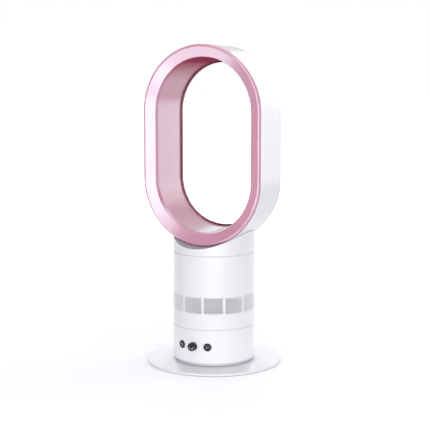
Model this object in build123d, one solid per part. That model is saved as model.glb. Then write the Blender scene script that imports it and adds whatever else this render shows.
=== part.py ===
"""Bladeless tower fan: base disc, swivelling cylindrical body and oval air loop.

Millimetres. +Z is up, the fan blows towards -Y, and the origin is the centre of the
circle on which the base stands. Distances "ahead" are measured from the body's axis
towards the front, so ahead = -y.
"""
from build123d import *
import os
from math import acos, cos, pi, radians, sin, sqrt, tan

# ---------------------------------------------------------------- driving dimensions
# Clearances
run_gap = 0.05          # radial play of a shaft or pinion in its bearing
slip_gap = 0.2          # play of a piece that is pushed into another and stays there
free_gap = 0.3          # play between pieces that move past each other
lap = 0.5               # how far two shapes of one piece run into each other

# Base
base_radius = 125.0
base_thickness = 4.2
base_edge_round = 1.6
foot_radius = 8.0
foot_circle = 108.0
foot_count = 6
foot_stand = 0.8        # how far the feet lift the disc off the table
foot_depth = 1.0        # how deep the feet sit in the disc

# Swivel
hub_flange_radius = 32.0
hub_flange_height = 3.0
post_radius = 12.0
post_rise = 4.2         # how far the post stands above the turntable's plate
spigot_radius = 8.0
spigot_flat = 6.8       # distance of the spigot's two flats from the axis
bush_wall = 3.0
boss_wall = 3.0
glide_inset = 7.0       # from the housing's screw circle in to the glide ring
glide_width = 8.0
glide_height = 2.6
glide_groove = 0.6
hub_screw_circle = 24.0
post_tap = 4.0          # depth of the screw hole below the gear

# Swing gears
gear_module = 1.0
gear_teeth = 42
pinion_teeth = 14
gear_width = 6.0
pressure_angle = 25.0
tooth_backlash = 0.12
gear_addendum = 0.9
gear_dedendum = 1.25

# Body
body_radius = 76.0
body_wall = 2.6
body_bottom = 10.8      # height of the body's lower edge
lower_seam = 72.3
upper_seam = 207.7
seam_gap = 0.4
edge_chamfer = 0.5
skirt_inset = 3.0       # from the body's surface in to the skirt
skirt_wall = 2.0
skirt_lift = 0.7        # gap between the skirt and the base disc
turntable_plate = 3.0
boss_inset = 7.4        # from the housing's inside in to its screw bosses' axes
boss_radius = 4.5
web_wall = 2.0
ledge_height = 3.0
ledge_width = 4.4
deck_plate = 3.0
deck_rim = 10.5
flange_width = 15.0

# Controls
control_height = 41.5
control_spacing = 20.5  # degrees between neighbouring controls
button_radius = 7.2
button_proud = 1.0
button_travel = 1.0
button_flange = 1.6
button_flange_depth = 1.2
stem_radius = 2.5
stem_length = 4.0
plunger_radius = 1.3
plunger_length = 2.7
switch_size = 6.0
switch_depth = 3.0
knob_radius = 7.9
knob_height = 8.4
knob_taper = 0.5
knob_stand = 0.4
pot_shaft_radius = 3.0
pot_radius = 8.0
pot_depth = 5.0
bushing_radius = 4.2
bushing_length = 3.6
control_board = (17.0, 22.0, 1.6)
bracket_wall = 2.0
bracket_lap = 0.7       # how far the bracket's three facets run into each other
bracket_top = 56.0
bracket_foot = (36.0, 14.0)

# Swing motor
motor_radius = 21.0
motor_height = 18.0
motor_shaft_radius = 2.5
motor_plate = 2.0
motor_clear = 5.0       # height between the gears and the motor's plate
motor_ear = 27.0
ear_size = (8.0, 1.5)   # width and thickness of the motor's two ears
shaft_entry = 5.0       # length of the motor's shaft inside the motor
leg_size = (6.0, 22.0)
washer_height = 1.5
washer_radius = 11.0

# Power board
board_size = (78.0, 64.0, 1.6)
board_centre = 14.0
board_drop = 14.0       # distance from the deck down to the board
board_post_radius = 3.2
board_post_inset = 5.0  # from the board's edges in to its screws
transformer_place = (16.0, 4.0)
transformer_core = (28.0, 24.0, 11.0)
transformer_coil = (20.0, 32.0, 8.0)
capacitor_place = (-14.0, -12.0)
capacitor_radius = 7.0
capacitor_height = 12.0
heat_sink_place = (-14.0, 12.0)
heat_sink_base = (30.0, 12.0, 2.0)
fin_count = 6
fin_wall = 0.9
fin_height = 10.0

# Air intake
grille_bottom = 101.3
grille_top = 133.1
panel_count = 12
panel_turn = -1.25      # degrees by which the ring of panels is turned to the left of the front
panel_bar = 3.2         # width of the bar between two panels
grille_wall = 1.2
hole_pitch = 4.2
hole_radius = 1.45
grille_margin = 1.6

# Blower
blower_ledge = 136.0
isolation_height = 3.0
shroud_flange = 2.5
shroud_wall = 2.0
inlet_radius = 42.0
outlet_radius = 60.0
cone_height = 30.0
shroud_top = 198.0
tip_gap = 0.8
impeller_base_radius = 40.0
impeller_nose_radius = 16.0
impeller_lift = 4.0     # height of the impeller's nose above the inlet
impeller_height = 26.0
blade_count = 9
blade_thickness = 1.6
blade_root = 11.0
blade_bow = (36.0, -11.0)   # middle of a blade's curve, seen from above
blade_sweep = 44.0          # degrees by which a blade's tip trails its root
nut_radius = 4.6
nut_height = 4.0
shaft_radius = 2.5
bucket_wall = 2.0
bucket_height = 27.0
cap_rise = 10.0
cap_wall = 2.0
stator_radius = 30.0
stator_height = 16.0
bearing_radius = 8.0
bearing_height = 5.0
seat_wall = 2.0         # ring round a bearing
vane_count = 11
vane_height = 16.0
vane_wall = 1.8

# Outlet duct and neck
duct_top = 215.5
duct_wall = 2.0
neck_radius = 37.0
neck_wall = 2.0
neck_bottom = 206.0
duct_gap = 3.0          # width of the ring between duct and neck, filled by the seal

# Loop
loop_centre = 404.3
loop_straight = 61.2    # half length of the straight sides
band_outer = (116.6, 52.0)   # (half width, ahead) of the front band's outer edge
band_inner = (99.3, 43.6)
bevel_inner = (97.3, 37.2)
wall_rear = (92.4, -35.2)    # rear end of the inner wall
lip_side = (121.5, 46.8)     # where the pink moulding meets the outer shell
shell_rear = (119.2, -42.0)  # outer rear corner before it is rounded
shell_corner = 4.0
shell_inner = (97.0, -40.8)  # inner edge of the shell's rear wall
loop_wall = 2.4
slot_width = 1.3
lip_wall = 1.2
lip_front = -33.9
lip_round = 2.0
lip_flange = 4.0             # how far the lip ring reaches behind the shell's edge
lip_flange_wall = 1.4
nose_depth = 5.4
nose_round = 4.4
edge_round = 0.8             # along the front band and the bevel
spacer_count = 16
spacer_size = 3.0
tongue_length = 5.0
gasket_height = 0.8
collar_top_wall = 2.5
collar_spigot = 8.0
spigot_wall = 2.2
loop_screw = (50.0, 18.0)    # half spacing of the four loop screws across and along
loop_boss_height = 12.0
loop_boss_wall = 2.2
loop_seat_depth = 7.0        # depth of the screw heads' seats below the loop

# Fasteners
screw_radius = 1.5
screw_head_radius = 3.0
screw_head_height = 2.2
short_bite = 7.0        # grip of the screws from below into the housing's bosses
long_bite = 14.0        # grip of the screws from above into the same bosses
board_bite = 8.0        # grip of the board's screws in the deck's posts

# Cord inlet
gland_height = 25.0
gland_bore = 3.6
gland_radius = 6.0
gland_flange = 8.5
gland_flange_height = 2.0
gland_length = 14.0
gland_inside = 6.1      # how far the sleeve reaches in from the body's surface
gland_lock = 2.0

# ------------------------------------------------------------------- derived places
plate_top = foot_stand + base_thickness
body_inner = body_radius - body_wall
boss_circle = body_inner - boss_inset
glide_outer = boss_circle - glide_inset
glide_inner = glide_outer - glide_width
skirt_radius = body_radius - skirt_inset
glide_top = plate_top - glide_groove + glide_height
flange_top = plate_top + hub_flange_height
turntable_top = body_bottom + turntable_plate
gear_bottom = turntable_top + post_rise
gear_top = gear_bottom + gear_width
gear_radius = gear_module * gear_teeth / 2
pinion_radius = gear_module * pinion_teeth / 2
gear_distance = gear_radius + pinion_radius
motor_bottom = gear_top + motor_clear + motor_plate
deck_top = lower_seam + seam_gap / 2
deck_bottom = deck_top - deck_plate
board_top = deck_bottom - board_drop
shroud_bottom = blower_ledge + ledge_height + isolation_height
impeller_bottom = shroud_bottom + impeller_lift
impeller_top = impeller_bottom + impeller_height
bucket_bottom = impeller_top + tip_gap
stator_bottom = bucket_bottom + bucket_wall + bearing_height
panel_pitch = 360.0 / panel_count


upright = (Align.CENTER, Align.CENTER, Align.MIN)


# ----------------------------------------------------------------------- plain shapes
def rod(radius, bottom, top):
    """Solid cylinder on the z axis between two heights."""
    return Pos(0, 0, bottom) * Cylinder(radius, top - bottom, align=upright)


def tube(outer, inner, bottom, top):
    """Ring on the z axis between two heights."""
    return rod(outer, bottom, top) - rod(inner, bottom - 1, top + 1)


def turned(points):
    """Solid turned about the z axis from a closed outline of (radius, height) points."""
    outline = Plane.XZ * make_face(Polyline(*points, close=True))
    return revolve(outline, Axis.Z, 360)


def round_places(radius, count, first=0.0):
    """Evenly spaced (x, y) places on a circle; the first is at this angle from +x."""
    angles = [radians(first + 360.0 * k / count) for k in range(count)]
    return [(radius * cos(a), radius * sin(a)) for a in angles]


def radial_plane(angle, radius, height):
    """Plane on the body's wall, facing outwards, at an angle to the right of the front."""
    a = radians(angle)
    return Plane(origin=(radius * sin(a), -radius * cos(a), height),
                 x_dir=(cos(a), sin(a), 0), z_dir=(sin(a), -cos(a), 0))


def screw(bottom, top, head_up=True):
    """Pan-head screw on the z axis; bottom and top are the shank's ends."""
    shank = rod(screw_radius, bottom, top)
    if head_up:
        return shank + rod(screw_head_radius, top, top + screw_head_height)
    return shank + rod(screw_head_radius, bottom - screw_head_height, bottom)


def copies(solid, places):
    """The same solid at several (x, y) places."""
    return [Pos(x, y, 0) * solid for x, y in places]


def cut_all(solid, tools):
    """Takes each tool out of the solid."""
    for tool in tools:
        solid = solid - tool
    return solid


def add_all(solid, pieces):
    """Joins each piece to the solid."""
    for piece in pieces:
        solid = solid + piece
    return solid


# ------------------------------------------------------------------------- loop shapes
def stadium(half_width, ahead):
    """Upright rounded slot, the loop's outline, in the plane this far ahead of the axis."""
    slot = SlotCenterToCenter(2 * loop_straight, 2 * half_width, rotation=90)
    return Plane.XZ.offset(ahead) * Pos(0, loop_centre) * slot


def stadium_block(front, rear):
    """Solid between two loop outlines, each given as (half width, ahead)."""
    return loft([stadium(*front), stadium(*rear)], ruled=True)


def outer_width(ahead):
    """Half width of the loop's tapered outside, also beyond its two ends."""
    slope = (lip_side[0] - shell_rear[0]) / (lip_side[1] - shell_rear[1])
    return shell_rear[0] + slope * (ahead - shell_rear[1])


def loop_envelope(growth, reach=90.0):
    """The loop's tapered outside, grown by a distance and run on past both ends."""
    return stadium_block((outer_width(reach) + growth, reach), (outer_width(-reach) + growth, -reach))


def loop_profile(points, rounds):
    """Closed section from (half width, ahead) points; rounds pairs a point with a radius."""
    section = make_face(Polyline(*[(w, -s) for w, s in points], close=True))
    for (w, s), radius in rounds:
        corner = section.vertices().sort_by_distance((w, -s, 0))[0]
        section = fillet(corner, radius)
    return section


def round_the_loop(section):
    """Carries a section round the loop: two straight sides and two half turns."""
    upper = Pos(0, 0, loop_centre + loop_straight) * section
    lower = Pos(0, 0, loop_centre - loop_straight) * section
    top = revolve(upper, Axis((0, 0, loop_centre + loop_straight), (0, -1, 0)), 180)
    bottom = revolve(lower, Axis((0, 0, loop_centre - loop_straight), (0, 1, 0)), 180)
    side = extrude(lower, 2 * loop_straight, dir=(0, 0, 1))
    return top + side + bottom + mirror(side, Plane.YZ)


# -------------------------------------------------------------------------------- base
def make_base_plate():
    plate = rod(base_radius, foot_stand, plate_top)
    plate = fillet(plate.edges().filter_by(GeomType.CIRCLE), base_edge_round)
    plate -= tube(glide_outer, glide_inner, plate_top - glide_groove, plate_top + 1)
    pocket = rod(foot_radius + slip_gap / 2, foot_stand - 1, foot_stand + foot_depth)
    plate = cut_all(plate, copies(pocket, round_places(foot_circle, foot_count)))
    hole = rod(screw_radius + slip_gap, foot_stand - 1, plate_top + 1)
    recess = rod(screw_head_radius + slip_gap, foot_stand - 1, foot_stand + screw_head_height + slip_gap)
    return cut_all(plate, copies(hole + recess, round_places(hub_screw_circle, 4, 45)))


def make_feet():
    foot = chamfer(rod(foot_radius, 0, foot_stand + foot_depth).edges().group_by(Axis.Z)[0], 0.3)
    return copies(foot, round_places(foot_circle, foot_count))


def make_swivel_hub():
    """Fixed hub: flange on the disc, bearing post and a flatted spigot for the gear."""
    hub = rod(hub_flange_radius, plate_top, flange_top) + rod(post_radius, flange_top, gear_bottom)
    spigot = rod(spigot_radius, gear_bottom, gear_top)
    hub += spigot & Pos(0, 0, gear_bottom + gear_width / 2) * Box(2 * spigot_flat, 40, gear_width)
    hub -= rod(screw_radius + run_gap, gear_bottom - post_tap, gear_top + 1)
    hole = rod(screw_radius + run_gap, plate_top - 1, flange_top - 0.6)
    return cut_all(hub, copies(hole, round_places(hub_screw_circle, 4, 45)))


def make_hub_screws():
    seat = foot_stand + screw_head_height + slip_gap
    return copies(screw(seat, flange_top - 0.8, head_up=False), round_places(hub_screw_circle, 4, 45))


def make_gear_washer():
    return tube(washer_radius, screw_radius + slip_gap, gear_top, gear_top + washer_height)


def make_gear_screw():
    return screw(gear_bottom - post_tap + lap, gear_top + washer_height)


# ------------------------------------------------------------------------------- gears
def gear_outline(teeth, first_tooth):
    """Involute gear outline; the middle of one tooth lies at the given angle from +x."""
    pitch = gear_module * teeth / 2
    base = pitch * cos(radians(pressure_angle))
    tip = pitch + gear_addendum * gear_module
    root = pitch - gear_dedendum * gear_module
    start = max(base, root)
    half = pi / (2 * teeth) - tooth_backlash / (2 * pitch)
    involute = tan(radians(pressure_angle)) - radians(pressure_angle)
    flank = [(root, half + involute)] if root < base else []
    for step in range(5):
        radius = start + (tip - start) * step / 4
        roll = acos(min(1.0, base / radius))
        flank.append((radius, half + involute - (tan(roll) - roll)))
    points = []
    for tooth in range(teeth):
        middle = radians(first_tooth) + 2 * pi * tooth / teeth
        points += [(r * cos(middle - a), r * sin(middle - a)) for r, a in flank]
        points += [(r * cos(middle + a), r * sin(middle + a)) for r, a in reversed(flank)]
    return make_face(Polyline(*points, close=True))


def make_fixed_gear():
    """Gear on the hub's spigot; a tooth points at the pinion, behind the axis."""
    gear = Pos(0, 0, gear_bottom) * extrude(gear_outline(gear_teeth, 90), gear_width)
    middle = gear_bottom + gear_width / 2
    bore = rod(spigot_radius + run_gap, gear_bottom - 1, gear_top + 1)
    return gear - (bore & Pos(0, 0, middle) * Box(2 * (spigot_flat + run_gap), 40, gear_width + 4))


def make_drive_pinion():
    """Pinion on the gearmotor's shaft; a gap faces the fixed gear."""
    pinion = extrude(gear_outline(pinion_teeth, -90 + 180 / pinion_teeth), gear_width)
    bore = Cylinder(motor_shaft_radius, 3 * gear_width)
    return Pos(0, gear_distance, gear_bottom) * (pinion - bore)


def make_motor_shaft():
    return Pos(0, gear_distance, 0) * rod(motor_shaft_radius, gear_bottom + lap, motor_bottom + shaft_entry)


# --------------------------------------------------------------------- lower body shell
def make_glide_ring():
    return tube(glide_outer - slip_gap, glide_inner + slip_gap, plate_top - glide_groove, glide_top)


def make_turntable():
    """Floor of the body: rides on the glide ring and turns about the hub's post."""
    plate = rod(body_inner - slip_gap, body_bottom, turntable_top)
    plate += tube(glide_outer - 1, glide_inner + 1, glide_top, body_bottom)
    outer = post_radius + run_gap + bush_wall + boss_wall
    plate += rod(outer, flange_top + free_gap, gear_bottom - free_gap)
    plate -= rod(outer - boss_wall, 0, gear_top)
    hole = rod(screw_radius + slip_gap, 0, gear_top)
    return cut_all(plate, copies(hole, round_places(boss_circle, 4, 45)))


def make_hub_bush():
    return tube(post_radius + run_gap + bush_wall, post_radius + run_gap,
                flange_top + free_gap, gear_bottom - free_gap)


def make_turntable_screws():
    shank = screw(body_bottom, turntable_top + short_bite, head_up=False)
    return copies(shank, round_places(boss_circle, 4, 45))


def make_skirt_ring():
    return tube(skirt_radius, skirt_radius - skirt_wall, plate_top + skirt_lift, body_bottom)


def make_control_housing():
    shell = tube(body_radius, body_inner, body_bottom, lower_seam - seam_gap / 2)
    rims = shell.edges().filter_by(GeomType.CIRCLE).sort_by(SortBy.RADIUS)[-2:]
    shell = chamfer(rims, edge_chamfer)
    ledge_top = deck_top - deck_rim
    shell += tube(body_inner + lap, body_inner - ledge_width / 2, ledge_top - ledge_height, ledge_top)
    post = rod(boss_radius, turntable_top, deck_bottom)
    web = Box(boss_inset + 2 * lap, web_wall, ledge_top - turntable_top)
    web = Pos(boss_circle + boss_inset / 2, 0, (turntable_top + ledge_top) / 2) * web
    web &= rod(body_inner + lap, 0, lower_seam)
    for x, y in round_places(boss_circle, 4, 45):
        shell += Pos(x, y, 0) * post
    for k in range(4):
        shell += Rot(0, 0, 45 + 90 * k) * web
    hole = rod(screw_radius + run_gap, turntable_top - 1, deck_bottom + 1)
    shell = cut_all(shell, copies(hole, round_places(boss_circle, 4, 45)))
    for angle in (-control_spacing, control_spacing):
        shell -= radial_plane(angle, body_radius, control_height) * Cylinder(button_radius + free_gap, 12)
    shell -= radial_plane(0, body_radius, control_height) * Cylinder(pot_shaft_radius + 2 * free_gap, 12)
    return shell - radial_plane(180, body_radius, gland_height) * Cylinder(gland_radius + slip_gap, 12)


def make_cord_gland():
    """Rubber gland through the rear wall, with an empty bore for a mains lead."""
    place = radial_plane(180, body_radius, gland_height)
    sleeve = Pos(0, 0, -gland_inside) * Cylinder(gland_radius, gland_length, align=upright)
    flange = Pos(0, 0, run_gap) * Cylinder(gland_flange, gland_flange_height, align=upright)
    lock = Pos(0, 0, -gland_inside) * Cylinder(gland_flange - 1, gland_lock, align=upright)
    return place * (sleeve + flange + lock - Cylinder(gland_bore, 4 * gland_length))


# ---------------------------------------------------------------------------- controls
def control_place(angle, depth):
    """Plane facing outwards on a control's axis, this far inside the body's surface."""
    return radial_plane(angle, body_radius - depth, control_height)


flange_depth = body_wall + 0.8
stem_end = flange_depth + button_flange_depth + stem_length
switch_face = stem_end + button_travel + 0.2
board_face = switch_face + switch_depth


def axial(radius, place, length):
    """Cylinder that starts at a plane and runs outwards along its normal."""
    return place * Cylinder(radius, length, align=upright)


def make_button(angle):
    """Push button: slightly crowned cap, flange behind the wall, stem."""
    cap = axial(button_radius, control_place(angle, flange_depth), flange_depth + button_proud)
    cap = fillet(cap.edges().filter_by(GeomType.CIRCLE).sort_by_distance((0, 0, control_height))[-1:], 0.6)
    flange_start = control_place(angle, flange_depth + button_flange_depth)
    flange = axial(button_radius + button_flange, flange_start, button_flange_depth)
    return cap + flange + axial(stem_radius, control_place(angle, stem_end), stem_length)


def make_plunger(angle):
    return axial(plunger_radius, control_place(angle, stem_end + plunger_length), plunger_length)


def make_switches():
    switches = []
    for angle in (-control_spacing, control_spacing):
        place = control_place(angle, board_face)
        block = place * Box(switch_size, switch_size, switch_depth, align=upright)
        switches.append(block - axial(plunger_radius + run_gap, place, 3 * switch_depth))
    return switches


def make_speed_knob():
    """Turned knob: tapered grip with a rounded face and a bore for the shaft."""
    place = control_place(0, -knob_stand)
    sketch = Circle(knob_radius)
    grip = place * extrude(sketch, knob_height, taper=degrees_of(knob_taper, knob_height))
    face = grip.faces().sort_by(Axis.Y)[0]
    grip = fillet(face.edges(), 0.8)
    return grip - axial(pot_shaft_radius, place, knob_height - 1.5)


def degrees_of(inset, height):
    """Taper angle that draws an extrusion in by this much over its height."""
    return acos(height / sqrt(height * height + inset * inset)) * 180 / pi


def make_knob_shaft():
    bottom = control_place(0, board_face - 1)
    return axial(pot_shaft_radius, bottom, board_face - 1 + knob_stand + knob_height - 1.5)


def make_potentiometer():
    place = control_place(0, board_face)
    body = axial(pot_radius, place, pot_depth) + axial(bushing_radius, place, pot_depth + bushing_length)
    return body - axial(pot_shaft_radius + run_gap, place, 30)


def make_control_boards():
    width, height, thickness = control_board
    boards = []
    for angle in (-control_spacing, 0, control_spacing):
        place = control_place(angle, board_face + thickness)
        boards.append(place * Box(width, height, thickness, align=upright))
    return boards


def make_control_bracket():
    """Faceted upright that carries the three control boards on the turntable."""
    back = board_face + control_board[2] + bracket_wall
    height = bracket_top - turntable_top
    middle = (bracket_top + turntable_top) / 2 - control_height
    front = body_radius - back + bracket_wall
    width = 2 * front * tan(radians(control_spacing / 2)) + bracket_lap
    pieces = []
    for angle in (-control_spacing, 0, control_spacing):
        plate = Box(width, height, bracket_wall, align=upright)
        pieces.append(control_place(angle, back) * Pos(0, middle, 0) * plate)
    bracket = add_all(pieces[0], pieces[1:])
    foot_place = radial_plane(0, front - bracket_foot[1] / 2, turntable_top)
    bracket += foot_place * Pos(0, bracket_wall / 2, 0) * Box(bracket_foot[0], bracket_wall, bracket_foot[1])
    for angle in (-control_spacing, 0, control_spacing):
        board = control_place(angle, board_face + control_board[2])
        bracket -= board * Box(control_board[0], control_board[1], 2 * control_board[2], align=upright)
    return bracket


# ------------------------------------------------------------------------- swing motor
def make_swing_motor():
    body = rod(motor_radius, motor_bottom, motor_bottom + motor_height)
    body = fillet(body.edges().filter_by(GeomType.CIRCLE).sort_by(Axis.Z)[-1:], 1.5)
    width, wall = ear_size
    ears = Pos(0, 0, motor_bottom + wall / 2) * Box(2 * motor_ear + width, width, wall)
    hole = rod(screw_radius + run_gap, motor_bottom - 1, motor_bottom + wall + 1)
    body += cut_all(ears, copies(hole, [(-motor_ear, 0), (motor_ear, 0)]))
    body -= rod(motor_shaft_radius + run_gap, motor_bottom - 1, motor_bottom + shaft_entry + lap)
    return Pos(0, gear_distance, 0) * body


def make_motor_bracket():
    """Bridge over the gears that holds the gearmotor."""
    bottom = motor_bottom - motor_plate
    width, depth = leg_size
    span = motor_ear + width
    plate = Pos(0, gear_distance, bottom + motor_plate / 2) * Box(2 * span, 2 * motor_radius, motor_plate)
    plate -= Pos(0, gear_distance, 0) * rod(motor_shaft_radius + 2, bottom - 1, motor_bottom + 1)
    for side in (-1, 1):
        leg = Box(width, depth, bottom - turntable_top)
        plate += Pos(side * (span - width / 2), gear_distance, (bottom + turntable_top) / 2) * leg
        plate -= Pos(side * motor_ear, gear_distance, bottom) * Cylinder(screw_radius + run_gap, 9)
    return plate


def make_motor_screws():
    places = [(side * motor_ear, gear_distance) for side in (-1, 1)]
    return copies(screw(motor_bottom - motor_plate, motor_bottom + ear_size[1]), places)


# ------------------------------------------------------------------- deck, power board
def board_post_places():
    across, along = [size / 2 - board_post_inset for size in board_size[:2]]
    return [(sx * across, board_centre + sy * along) for sx in (-1, 1) for sy in (-1, 1)]


def make_deck():
    """Partition between controls and intake, with posts for the power board."""
    outer = body_inner - slip_gap
    deck = rod(outer, deck_bottom, deck_top)
    deck += tube(outer, outer - spigot_wall, deck_top - deck_rim, deck_bottom)
    post = rod(board_post_radius, board_top, deck_bottom) - rod(screw_radius + run_gap, 0, deck_bottom)
    deck = add_all(deck, copies(post, board_post_places()))
    hole = rod(screw_radius + slip_gap, 0, deck_top + 1)
    deck = cut_all(deck, copies(hole, round_places(boss_circle, 4, 45)))
    relief = rod(boss_radius + slip_gap, 0, deck_bottom)
    return cut_all(deck, copies(relief, round_places(boss_circle, 4, 45)))


def make_power_board():
    width, depth, thickness = board_size
    board = Pos(0, board_centre, board_top - thickness / 2) * Box(width, depth, thickness)
    return cut_all(board, copies(rod(screw_radius + slip_gap, 0, deck_top), board_post_places()))


def make_board_screws():
    bottom = board_top - board_size[2]
    return copies(screw(bottom, board_top + board_bite, head_up=False), board_post_places())


def on_board(place, height):
    """Place of a component on the power board's upper face, at half its height."""
    return Pos(place[0], board_centre + place[1], board_top + height / 2)


def make_transformer():
    core = on_board(transformer_place, transformer_core[2]) * Box(*transformer_core)
    return core + on_board(transformer_place, transformer_coil[2]) * Box(*transformer_coil)


def make_capacitor():
    can = on_board(capacitor_place, capacitor_height) * Cylinder(capacitor_radius, capacitor_height)
    return fillet(can.edges().filter_by(GeomType.CIRCLE).sort_by(Axis.Z)[-1:], 0.8)


def make_heat_sink():
    width, depth, plate = heat_sink_base
    x, y = heat_sink_place
    sink = on_board(heat_sink_place, plate) * Box(width, depth, plate)
    for k in range(fin_count):
        row = y + depth * ((k + 0.5) / fin_count - 0.5)
        sink += on_board((x, row), fin_height) * Box(width, fin_wall, fin_height)
    return sink


def make_housing_screws():
    shank = screw(deck_bottom - long_bite, deck_top + deck_plate)
    return copies(shank, round_places(boss_circle, 4, 45))


# --------------------------------------------------------------------- main body shell
def window(k):
    """Cutter for one window of the intake band, before the ring is turned into place."""
    half_bar = panel_bar / 2 / body_radius * 180 / pi
    sweep = panel_pitch - 2 * half_bar
    middle = -90.0 + panel_pitch * k
    ring = tube(body_radius + 5, body_inner - 5, grille_bottom, grille_top)
    wedge = Pos(0, 0, grille_bottom - 1) * extrude(pie(body_radius + 10, middle - sweep / 2, sweep), 50)
    return ring & wedge


def pie(radius, start, sweep):
    """Flat sector of a circle."""
    a, b, c = [radians(start + sweep * f) for f in (0, 0.5, 1)]
    rim = ThreePointArc(*[(radius * cos(t), radius * sin(t)) for t in (a, b, c)])
    return make_face(Line((0, 0), rim @ 0) + rim + Line(rim @ 1, (0, 0)))


def make_main_housing():
    shell = tube(body_radius, body_inner, lower_seam + seam_gap / 2, upper_seam - seam_gap / 2)
    rims = shell.edges().filter_by(GeomType.CIRCLE).sort_by(SortBy.RADIUS)[-2:]
    shell = chamfer(rims, edge_chamfer)
    shell += tube(body_inner + lap, body_inner - flange_width, deck_top, deck_top + deck_plate)
    shell += tube(body_inner + lap, body_inner - ledge_width, blower_ledge, blower_ledge + ledge_height)
    hole = rod(screw_radius + slip_gap, 0, deck_top + 2 * deck_plate)
    shell = cut_all(shell, copies(hole, round_places(boss_circle, 4, 45)))
    return cut_all(shell, [Rot(0, 0, panel_turn) * window(k) for k in range(panel_count)])


def make_intake_grille():
    """Perforated panels, one behind each window, flush with the body's surface."""
    shrink = slip_gap / 2
    panel = window(0) & tube(body_radius - 0.05, body_radius - grille_wall, grille_bottom + shrink,
                             grille_top - shrink)
    sweep = panel_pitch - 2 * (panel_bar / 2 + grille_margin) / body_radius * 180 / pi
    width = radians(sweep) * body_radius
    height = grille_top - grille_bottom - 2 * grille_margin
    row_pitch = hole_pitch * sin(radians(60))
    rows = int((height - 2 * hole_radius) / row_pitch) + 1
    columns = int((width - 2 * hole_radius) / hole_pitch) + 1
    middle = (grille_bottom + grille_top) / 2
    drills = []
    for row in range(rows):
        shift = 0.25 if row % 2 else -0.25
        z = middle + (row - (rows - 1) / 2) * row_pitch
        for column in range(columns):
            along = (column - (columns - 1) / 2 + shift) * hole_pitch
            if abs(along) < width / 2 - hole_radius + 0.01:
                place = radial_plane(along / body_radius * 180 / pi, body_radius, z)
                drills.append(place * Cylinder(hole_radius, 8))
    panel = panel - drills
    return [Rot(0, 0, panel_turn + panel_pitch * k) * panel for k in range(panel_count)]


# ------------------------------------------------------------------------------ blower
def shroud_radius(height):
    """Inside radius of the shroud's cone."""
    share = min(1.0, max(0.0, (height - shroud_bottom) / cone_height))
    return inlet_radius + (outlet_radius - inlet_radius) * share


def make_isolation_ring():
    bottom = blower_ledge + ledge_height
    return tube(body_inner - slip_gap, body_inner - ledge_width, bottom, bottom + isolation_height)


def make_impeller_shroud():
    """Funnel round the impeller: flange on the isolation ring, cone and cylinder."""
    top = shroud_bottom + cone_height
    wall = shroud_wall
    return turned([(inlet_radius, shroud_bottom), (body_inner - slip_gap, shroud_bottom),
                   (body_inner - slip_gap, shroud_bottom + shroud_flange),
                   (inlet_radius + wall + 2, shroud_bottom + shroud_flange),
                   (outlet_radius + wall, top), (outlet_radius + wall, shroud_top),
                   (outlet_radius, shroud_top), (outlet_radius, top)])


def make_impeller():
    """Mixed-flow impeller: conical hub and swept blades that follow the shroud."""
    nose, base = impeller_nose_radius, impeller_base_radius
    rim = 3.0
    hub = turned([(0, impeller_bottom), (nose - rim, impeller_bottom), (nose, impeller_bottom + rim),
                  (base, impeller_top - rim), (base, impeller_top), (0, impeller_top)])
    low, high = impeller_bottom + rim, impeller_top - 1
    space = turned([(nose - rim, low + 1), (shroud_radius(low) - tip_gap, low),
                    (shroud_radius(high) - tip_gap, high), (nose - rim, high)])
    sweep = radians(blade_sweep)
    tip = (outlet_radius * cos(sweep), -outlet_radius * sin(sweep))
    curve = ThreePointArc((blade_root, 0), blade_bow, tip)
    blade = Pos(0, 0, impeller_bottom) * extrude(trace(curve, line_width=blade_thickness), impeller_height)
    blade = blade & space
    wheel = add_all(hub, [Rot(0, 0, 360.0 * k / blade_count) * blade for k in range(blade_count)])
    return wheel - rod(shaft_radius, 0, impeller_top + 1)


def make_impeller_shaft():
    bottom = impeller_bottom - nut_height - 3
    return rod(shaft_radius, bottom, stator_bottom + stator_height + bearing_height - 1)


def make_impeller_nut():
    nut = RegularPolygon(nut_radius, 6) - Circle(shaft_radius)
    return Pos(0, 0, impeller_bottom - nut_height) * extrude(nut, nut_height)


def make_motor_bucket():
    """Motor housing with straightening vanes that reach the shroud."""
    top = bucket_bottom + bucket_height
    radius = impeller_base_radius
    bucket = rod(radius, bucket_bottom, top)
    bucket -= rod(radius - bucket_wall, bucket_bottom + bucket_wall, top + 1)
    reach = outlet_radius - slip_gap
    vane_top = shroud_top - 1
    middle = Pos((radius + reach) / 2 - 0.5, 0, vane_top - vane_height / 2)
    vane = middle * Box(reach - radius + 1, vane_wall, vane_height) & rod(reach, bucket_bottom, top)
    bucket = add_all(bucket, [Rot(0, 0, 360.0 * k / vane_count) * vane for k in range(vane_count)])
    return bucket - rod(bearing_radius + slip_gap / 4, 0, bucket_bottom + bucket_wall + 1)


def make_bucket_cap():
    """Domed cap that closes the bucket and holds the upper bearing down."""
    top = bucket_bottom + bucket_height
    radius = impeller_base_radius
    shoulder = radius - 16
    w = cap_wall
    spigot = radius - bucket_wall - slip_gap
    cap = turned([(0, top + cap_rise), (shoulder, top + cap_rise - 1), (radius, top + w), (radius, top),
                  (spigot, top), (spigot, top - 2 * w), (spigot - w, top - 2 * w), (spigot - w, top + w / 2),
                  (shoulder, top + cap_rise - 1 - w), (0, top + cap_rise - w)])
    bearing_top = stator_bottom + stator_height + bearing_height
    return cap + tube(bearing_radius, bearing_radius - w, bearing_top, top + cap_rise - w)


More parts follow.
